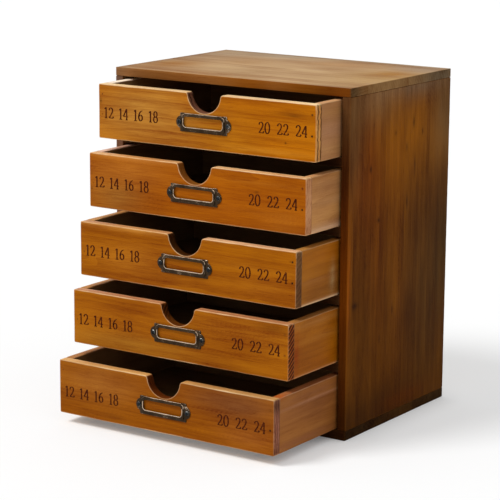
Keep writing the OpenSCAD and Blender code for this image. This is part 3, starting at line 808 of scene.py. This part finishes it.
holder = {
    "window": {"half": (20.75, 4.6), "corner": 3.0, "lift": 0.65},
    "raised": {"half": (22.5, 7.25), "corner": 2.5, "lift": 0.0},
    "flange": {"half": (24.75, 8.25), "corner": 0.8, "lift": 0.0},
    "earAt": 23.4, "earRadius": 5.6,
    "slotHalf": 20.0,  # the card goes in between the upper rail and the wood, this far to either side
    "stations": (18, 12, 14),  # up half a side, round a corner, along half a rail
    # the pressed sheet's section: outline, millimetres outside it, height off the wood, how bright it is,
    # partly rubbed and partly a painted highlight, and how bright above the window, where painted shade keeps
    # the window's bead dark and a painted highlight lights the outer edge
    "section": [
        ("window", 0.0, 1.45, 0.1, 0.0), ("window", 0.0, 1.9, 0.6, 0.0), ("window", 0.15, 2.08, 0.9, 0.1),
        ("window", 0.45, 2.1, 0.75, 0.15), ("window", 0.85, 1.92, 0.1, 0.1),
        ("raised", -0.7, 1.92, 0.15, 0.15), ("raised", -0.2, 1.8, 0.3, 0.55),
        ("raised", 0.0, 1.5, 0.15, 0.9), ("raised", 0.0, 0.75, 0.0, 0.3), ("raised", 0.15, 0.7, 0.0, 0.2),
        ("flange", -0.2, 0.7, 0.25, 0.3), ("flange", 0.0, 0.55, 0.35, 0.4), ("flange", 0.0, 0.0, 0.1, 0.1),
        ("flange", -0.2, 0.0, 0.0, 0.0), ("raised", -0.7, 0.0, 0.0, 0.0), ("raised", -0.7, 1.3, 0.0, 0.0),
        ("window", 0.3, 1.4, 0.0, 0.0)],
    "above": (3.0, 4.6),  # heights over the middle between which the second value takes over
    "slotFrom": 8, "slotTo": 14,  # rows of the section that the card slot leaves out
    "slotHeight": 1.4,
    "lipFrom": 5, "lip": 0.9,  # from this row on, the sheet over the slot reaches this much further up
    # dents in what is pressed up this high: their depth, and the length of their waves
    "pressed": 1.35, "dent": 0.05, "dentWave": 22, "bead": 1.6, "highest": 2.1,
}


def quarterOutline(part, outside):
    # A quarter of a rounded rectangle, from the middle of its right side to the middle of its upper one: up
    # the side, round the corner, along the rail. The flange's side first follows the round ear.
    shape = holder[part]
    halfWidth, halfHeight = shape["half"]
    corner = shape["corner"]
    onSide, onCorner, onRail = holder["stations"]
    cornerX, cornerZ = halfWidth - corner, halfHeight - corner
    if part == "flange":
        radius = holder["earRadius"] + outside
        meeting = np.arccos((halfWidth + outside - holder["earAt"]) / radius)
        onEar = np.linspace(0, meeting, onSide - 3)
        side = np.stack([holder["earAt"] + radius * np.cos(onEar), radius * np.sin(onEar)], -1)
        above = np.linspace(side[-1, 1], cornerZ, 4)[1:]
        side = np.concatenate([side, np.stack([np.full(3, halfWidth + outside), above], -1)])
        turn = np.linspace(0, np.pi / 2, onCorner - 3)[1:]
        beyond = np.linspace(cornerX, holder["slotHalf"], 5)[1:]
    else:
        side = np.stack([np.full(onSide, halfWidth + outside), np.linspace(0, cornerZ, onSide)], -1)
        turn = np.linspace(0, np.pi / 2, onCorner + 1)[1:]
        beyond = np.empty(0)
    arc = [cornerX, cornerZ] + (corner + outside) * np.stack([np.cos(turn), np.sin(turn)], -1)
    railFrom = beyond[-1] if len(beyond) else cornerX
    rail = np.concatenate([beyond, [railFrom - 0.05], np.linspace(railFrom, 0, onRail)[1:]])
    rail = np.stack([rail, np.full(len(rail), halfHeight + outside)], -1)
    return np.concatenate([side, arc, rail])


def wholeOutline(part, outside):
    # The quarter mirrored to all four, once round and closed on itself
    quarter = quarterOutline(part, outside)
    around = [quarter, (quarter * [-1, 1])[-2::-1], (-quarter)[1:], (quarter * [1, -1])[-2:0:-1]]
    return np.concatenate(around) + [0, holder[part]["lift"]]


def makeHolder(name, middle, wood, seed):
    # Each row of the section is one closed loop round the holder, and the last one meets the first
    outlines = np.stack([wholeOutline(row[0], row[1]) for row in holder["section"]])
    heights, rubAndHighlight, rubAndHighlightAbove = np.array([row[2:] for row in holder["section"]]).T[..., None]
    heights = heights * np.ones(outlines.shape[1])
    onRail = holder["stations"][2]
    quarterCount = len(quarterOutline("raised", 0))
    slot = np.abs(np.arange(outlines.shape[1]) - (quarterCount - 1)) < onRail
    rows = np.arange(len(heights))
    cut = ((rows >= holder["slotFrom"]) & (rows <= holder["slotTo"]))[:, None] & slot
    outlines = np.where(cut[..., None], wholeOutline("raised", 0), outlines)
    onLip = ((rows >= holder["lipFrom"]) & (rows <= holder["slotTo"]))[:, None] & slot
    outlines = outlines + (onLip * holder["lip"])[..., None] * [0, 1]
    heights = np.where(cut, holder["slotHeight"], heights)
    heights[-2] = np.where(slot, holder["slotHeight"], heights[-2])
    dents = ripple(outlines, holder["dentWave"], seed) * (heights > holder["pressed"])
    dents = dents - (heights > holder["bead"])
    heights = np.clip(heights + holder["dent"] * dents, 0, holder["highest"])
    points = np.stack([middle[0] + outlines[..., 0], wood - heights, middle[1] + outlines[..., 1]], -1)
    rings = np.arange(heights.size).reshape(heights.shape)
    lowEnd, highEnd = holder["above"]
    # brightness along the section: partly rubbing, partly painted highlight, with painted shade on the bead
    # over the window
    rubbedAndHighlit = rubAndHighlight + (rubAndHighlightAbove - rubAndHighlight) * np.clip((outlines[..., 1] - lowEnd) / (highEnd - lowEnd), 0, 1)
    piece = makePiece(name, points.reshape(-1, 3), quadsBetween(np.concatenate([rings, rings[:1]])),
                      {"rubbedAndHighlit": ("FLOAT", rubbedAndHighlit.ravel())})
    finishEdges(piece, 35)
    return piece


# millimetres: "at" is how far a screw is from the holder's middle, "onSheet" how far its head is off the wood
screw = {"radius": 2.2, "rise": 1.3, "rim": 0.35, "slotHalf": 0.3, "slotDepth": 0.65, "shank": 0.8,
         "length": 7.0, "thread": 0.95, "threadDepth": 0.22, "at": 25.75, "onSheet": 0.7}


def makeScrews(name, middle, wood, seed):
    # Head: rows across the disc, each as long as the disc is wide there, under a dome; the rows between the
    # slot's edges are pushed down. Shank: its radius is a wave of angle minus turns along it.
    edge = screw["slotHalf"] / screw["radius"]
    beyond = np.cos(np.linspace(np.pi / 2, 0, 11)) * (1 - edge) + edge
    row = np.concatenate([-beyond[::-1], np.linspace(-edge + 0.01, edge - 0.01, 4), beyond])
    row = row[np.insert(np.diff(row) > 1e-6, 0, True)]
    column = np.sin(np.linspace(-np.pi / 2, np.pi / 2, 21))
    x = column[:, None] * np.sqrt(np.maximum(1 - row ** 2, 0))
    y = np.repeat(row[None], len(column), 0)
    fromMiddle = np.minimum(np.hypot(x, y), 1)
    dome = screw["rim"] + (screw["rise"] - screw["rim"]) * (1 - fromMiddle ** 2) ** 0.75
    inSlot = np.abs(y) < edge - 0.005
    top = np.where(inSlot, np.minimum(dome, screw["rise"] - screw["slotDepth"]), dome)
    i, j = rimOf(*x.shape)
    wall = np.linspace(0, 1, 4)[1:-1, None] * np.maximum(top[i, j], 0.1)
    headX, headY = [screw["radius"] * np.concatenate([part.ravel(), np.tile(part[i, j], 2), part.ravel()])
                    for part in (x, y)]
    headUp = np.concatenate([np.zeros(x.size), wall.ravel(), top.ravel()])
    # painted highlight: the head grows brighter towards its rim; the slot stays dark
    topRubAndHighlight = np.where(inSlot, 0.0, 0.1 + 0.55 * fromMiddle ** 4)
    headRubAndHighlight = np.concatenate([np.zeros(x.size + wall.size), topRubAndHighlight.ravel()])
    headQuads = slabQuads(*x.shape, 2)

    rounds = np.linspace(0, 1, 64)[:, None]
    angle = np.linspace(0, 2 * np.pi, 14, endpoint=False)
    depth = rounds * screw["length"]
    point = np.clip((1 - rounds) / 0.2, 0, 1) ** 0.7 * (rounds > 0)
    thread = 1 - screw["threadDepth"] * (0.5 + 0.5 * np.cos(angle - 2 * np.pi * depth / screw["thread"]))
    across = screw["shank"] * point * thread
    up = 0.2 - depth * np.ones(len(angle))
    shank = np.stack([across * np.cos(angle), across * np.sin(angle), up], -1)
    shankRings = np.arange(rounds.size * len(angle)).reshape(rounds.size, len(angle)) + len(headX)
    shape = np.concatenate([np.stack([headX, headY, headUp], -1), shank.reshape(-1, 3)])
    quads = np.concatenate([headQuads, quadsBetween(shankRings)[:, ::-1]])
    rubbedAndHighlit = np.concatenate([headRubAndHighlight, np.zeros(shank[..., 0].size)])

    points, turns = [], np.random.default_rng(seed).uniform(0, np.pi, 2)
    for place, turn in zip((-screw["at"], screw["at"]), turns):
        points.append(np.stack([middle[0] + place + shape[:, 0] * np.cos(turn) - shape[:, 1] * np.sin(turn),
                                wood - screw["onSheet"] - shape[:, 2],
                                middle[1] + shape[:, 0] * np.sin(turn) + shape[:, 1] * np.cos(turn)], -1))
    piece = makePiece(name, np.concatenate(points), np.concatenate([quads, quads + len(shape)]),
                      {"rubbedAndHighlit": ("FLOAT", np.tile(rubbedAndHighlit, 2))})
    finishEdges(piece, 35)
    return piece


for number in drawerNumbers:
    body = f"drawer_{number}"
    low, high = boxOf(body + "_label_holder")
    middle = ((low[0] + high[0]) / 2, (low[2] + high[2]) / 2)
    piece = makeHolder(f"drawer{number}HolderFrame", middle, high[1], 50 + number)
    settle(piece, body, antiqueBrass, [body + "_label_holder"])
    piece = makeScrews(f"drawer{number}HolderScrews", middle, high[1], 80 + number)
    settle(piece, body, dulledSteel, [body + "_screws"])
print("label holders and their screws")


# Numbers stamped on the fronts

stamp = {
    # what is stamped, where it starts, how far apart its digits are in parts of their height, and its foot
    # above the lower edge on each drawer
    "groups": (("12 14 16 18", -109.5, 0.56, (18.5, 18.5, 18.6, 17.9, 15.8)),
               ("20 22 24", 57.0, 0.64, (20.1, 20.3, 20.2, 20.0, 17.8))),
    "height": 9.8, "rise": 0.014, "thin": 0.028, "thick": 0.075, "nibAngle": 12.0,
    "ink": "#40180a", "thinInk": "#6c340c",
    # pen strokes of each digit in parts of its height: lines through points, or ovals (middle, half sizes)
    "0": [(0.28, 0.5, 0.23, 0.49)],
    "1": [[(0.10, 0.84), (0.27, 0.98)], [(0.27, 0.99), (0.27, 0.0)], [(0.11, 0.01), (0.43, 0.01)]],
    "2": [[(0.06, 0.74), (0.10, 0.90), (0.26, 0.99), (0.42, 0.90), (0.46, 0.72), (0.38, 0.50), (0.22, 0.26),
           (0.05, 0.03)], [(0.04, 0.045), (0.52, 0.045)], [(0.50, 0.05), (0.54, 0.20)]],
    "4": [[(0.37, 0.98), (0.02, 0.29)], [(0.02, 0.29), (0.54, 0.29)], [(0.39, 0.98), (0.39, 0.0)],
          [(0.27, 0.01), (0.51, 0.01)]],
    "6": [[(0.47, 0.95), (0.30, 0.90), (0.14, 0.70), (0.06, 0.42), (0.09, 0.18), (0.26, 0.0), (0.43, 0.12),
           (0.48, 0.30), (0.42, 0.50), (0.28, 0.58), (0.13, 0.50), (0.08, 0.38)]],
    "8": [(0.27, 0.74, 0.17, 0.25), (0.27, 0.26, 0.21, 0.26)],
}


def penLine(stroke):
    # Points along a stroke: an oval from its angles, or a line whose corners are cut twice to a curve
    if not isinstance(stroke, list):
        angle = np.linspace(0, 2 * np.pi, 28, endpoint=False)
        middle, half = np.reshape(stroke, (2, 2))
        return middle + half * np.stack([np.cos(angle), np.sin(angle)], -1), True
    line = np.array(stroke)
    for cut in range(2 if len(line) > 2 else 1):
        quarters = np.stack([0.75 * line[:-1] + 0.25 * line[1:], 0.25 * line[:-1] + 0.75 * line[1:]], 1)
        line = np.concatenate([line[:1], quarters.reshape(-1, 2), line[-1:]])
    return line, False


def penRibbon(line, closed, front, back):
    # A stroke of a broad nib as a flat bar, wide where it runs across the nib and thin where it runs along
    if closed:
        heading = np.roll(line, -1, 0) - np.roll(line, 1, 0)
    else:
        heading = np.gradient(line, axis=0)
    heading /= np.linalg.norm(heading, axis=1, keepdims=True)
    nib = np.radians(stamp["nibAngle"])
    turned = np.abs(heading[:, 0] * np.sin(nib) - heading[:, 1] * np.cos(nib))
    half = stamp["thin"] + (stamp["thick"] - stamp["thin"]) * turned
    aside = np.stack([-heading[:, 1], heading[:, 0]], -1) * half[:, None]
    left, right = line + aside, line - aside
    flat = np.stack([left, right, right, left], 1) * stamp["height"]
    depth = np.array([front, front, back, back]) * np.ones(flat.shape[:2])
    rings = np.arange(depth.size).reshape(depth.shape)
    if closed:
        quads = quadsBetween(np.concatenate([rings, rings[:1]]))
    else:
        quads = np.concatenate([quadsBetween(rings), rings[:1, ::-1], rings[-1:]])
    return np.stack([flat[..., 0], depth, flat[..., 1]], -1).reshape(-1, 3), quads


# stamping ink, dark where it lies thick, thinned where the grain shows through
stampInk, inkTree, inkShader = newMaterial("stampedInk", {"Roughness": 0.6, "Specular IOR Level": 0.02})
inkPlace = addNode(inkTree, "TexCoord", out=3)
inkGrain = addNode(inkTree, "Mapping", {"Vector": inkPlace, "Scale": (1 / 0.006, 1 / 0.0008, 1 / 0.0008)})
inkThin = addNode(inkTree, "TexNoise", {"Vector": inkGrain, "Scale": 1.0, "Detail": 3.0})
inkThin = addNode(inkTree, "MapRange", [inkThin, 0.45, 0.75], interpolation_type="SMOOTHSTEP")
inkColour = addNode(inkTree, "Mix", {0: inkThin, 6: colour(stamp["ink"]), 7: colour(stamp["thinInk"])},
                    out=2, data_type="RGBA")
inkTree.links.new(inkColour, inkShader.inputs["Base Color"])

for number in drawerNumbers:
    body = f"drawer_{number}"
    low, high = boxOf(body + "_front")
    points, quads, count = [], [], 0
    for text, start, advance, feet in stamp["groups"]:
        for place, digit in enumerate(text):
            for layer, stroke in enumerate(stamp.get(digit, [])):
                bar, faces = penRibbon(*penLine(stroke), low[1] + 0.02 + 0.01 * layer, low[1] + 0.3)
                shift = place * advance * stamp["height"]
                points.append(bar + [start + shift, 0, low[2] + feet[number - 1] + stamp["rise"] * shift])
                quads.append(faces + count)
                count += len(bar)
    piece = makePiece(f"drawer{number}SizeNumbers", np.concatenate(points), np.concatenate(quads))
    settle(piece, body, stampInk)
print("numbers on the fronts")


# Stage

stage = {
    "floor": "#fdfefe", "floorSize": 24.0, "sky": 0.5,
    # how white the floor is by itself, and how near to what stands on it that fades, by a power: painted
    # shade on the floor round the object
    "whitened": 0.5, "near": 0.028, "nearPower": 0.7,
    "sun": {"strength": 2.18, "angle": 20.0, "from": (-0.5, -0.7, 1.1)},
}
cameraSetup = {"lens": 149.75, "sensor": 36.0, "azimuth": 33.953, "elevation": 11.934, "roll": 0.421,
               "distance": 1.8955, "target": (-0.0055, -0.0446, 0.1475)}

half = stage["floorSize"] / 2 / mm
corner = np.linspace(-half, half, 9)
floorPoints = np.stack([*np.meshgrid(corner, corner, indexing="ij"), np.zeros((9, 9))], -1).reshape(-1, 3)
floor = makePiece("floor", floorPoints, quadsInside(np.arange(81).reshape(9, 9)))


def seenRays(tree):
    # 1 for the rays that show the background: straight, reflected or through something clear
    rays = addNode(tree, "LightPath").node
    seen = addNode(tree, "Math", [rays.outputs["Is Camera Ray"], rays.outputs["Is Glossy Ray"]],
                   operation="MAXIMUM")
    return addNode(tree, "Math", [seen, rays.outputs["Is Transmission Ray"]], operation="MAXIMUM")


# matt paint that those rays see partly lit from within, so that it is white and its shadows are light
floorPaint, floorTree, floorShader = newMaterial("mattPaintedFloor", {
    "Base Color": colour(stage["floor"]), "Roughness": 0.9, "Specular IOR Level": 0.1})
# painted shade: the floor's own glow fades near what stands on it
near = addNode(floorTree, "AmbientOcclusion", {"Distance": stage["near"]}, out=1)
near = addNode(floorTree, "Math", [near, stage["nearPower"]], operation="POWER")
whitened = addNode(floorTree, "Math", [seenRays(floorTree), stage["whitened"]], operation="MULTIPLY")
whitened = addNode(floorTree, "Math", [whitened, near], operation="MULTIPLY")
white = addNode(floorTree, "Emission", {"Color": (1, 1, 1, 1), "Strength": 1.0})
painted = addNode(floorTree, "MixShader", [whitened, floorShader.outputs[0], white])
floorTree.links.new(painted, floorTree.nodes["Material Output"].inputs["Surface"])
floor.data.materials.append(floorPaint)

world = bpy.data.worlds.new("softRoom")
bpy.context.scene.world = world
world.use_nodes = True
worldTree = world.node_tree
worldTree.nodes.clear()
level = addNode(worldTree, "MapRange", {0: seenRays(worldTree), 3: stage["sky"], 4: 1.0})
sky = addNode(worldTree, "Background", {"Color": (1, 1, 1, 1), "Strength": level})
addNode(worldTree, "OutputWorld", {"Surface": sky})

sun = bpy.data.lights.new("softSun", "SUN")
sun.energy = stage["sun"]["strength"]
sun.angle = np.radians(stage["sun"]["angle"])
sunObject = bpy.data.objects.new("softSun", sun)
sunObject.matrix_world = (-Vector(stage["sun"]["from"])).to_track_quat("-Z", "Y").to_matrix().to_4x4()
bpy.context.scene.collection.objects.link(sunObject)

camera = bpy.data.cameras.new("productCamera")
camera.lens = cameraSetup["lens"]
camera.sensor_width = cameraSetup["sensor"]
cameraObject = bpy.data.objects.new("productCamera", camera)
azimuth, elevation, roll = np.radians([cameraSetup[part] for part in ("azimuth", "elevation", "roll")])
turn = (Matrix.Rotation(azimuth, 4, "Z") @ Matrix.Rotation(np.pi / 2 - elevation, 4, "X")
        @ Matrix.Rotation(roll, 4, "Z"))
back = Matrix.Translation(Vector((0, 0, cameraSetup["distance"])))
cameraObject.matrix_world = Matrix.Translation(Vector(cameraSetup["target"])) @ turn @ back
bpy.context.scene.collection.objects.link(cameraObject)
bpy.context.scene.camera = cameraObject
bpy.context.scene.view_settings.view_transform = "Standard"
print("stage: floor, light and camera")
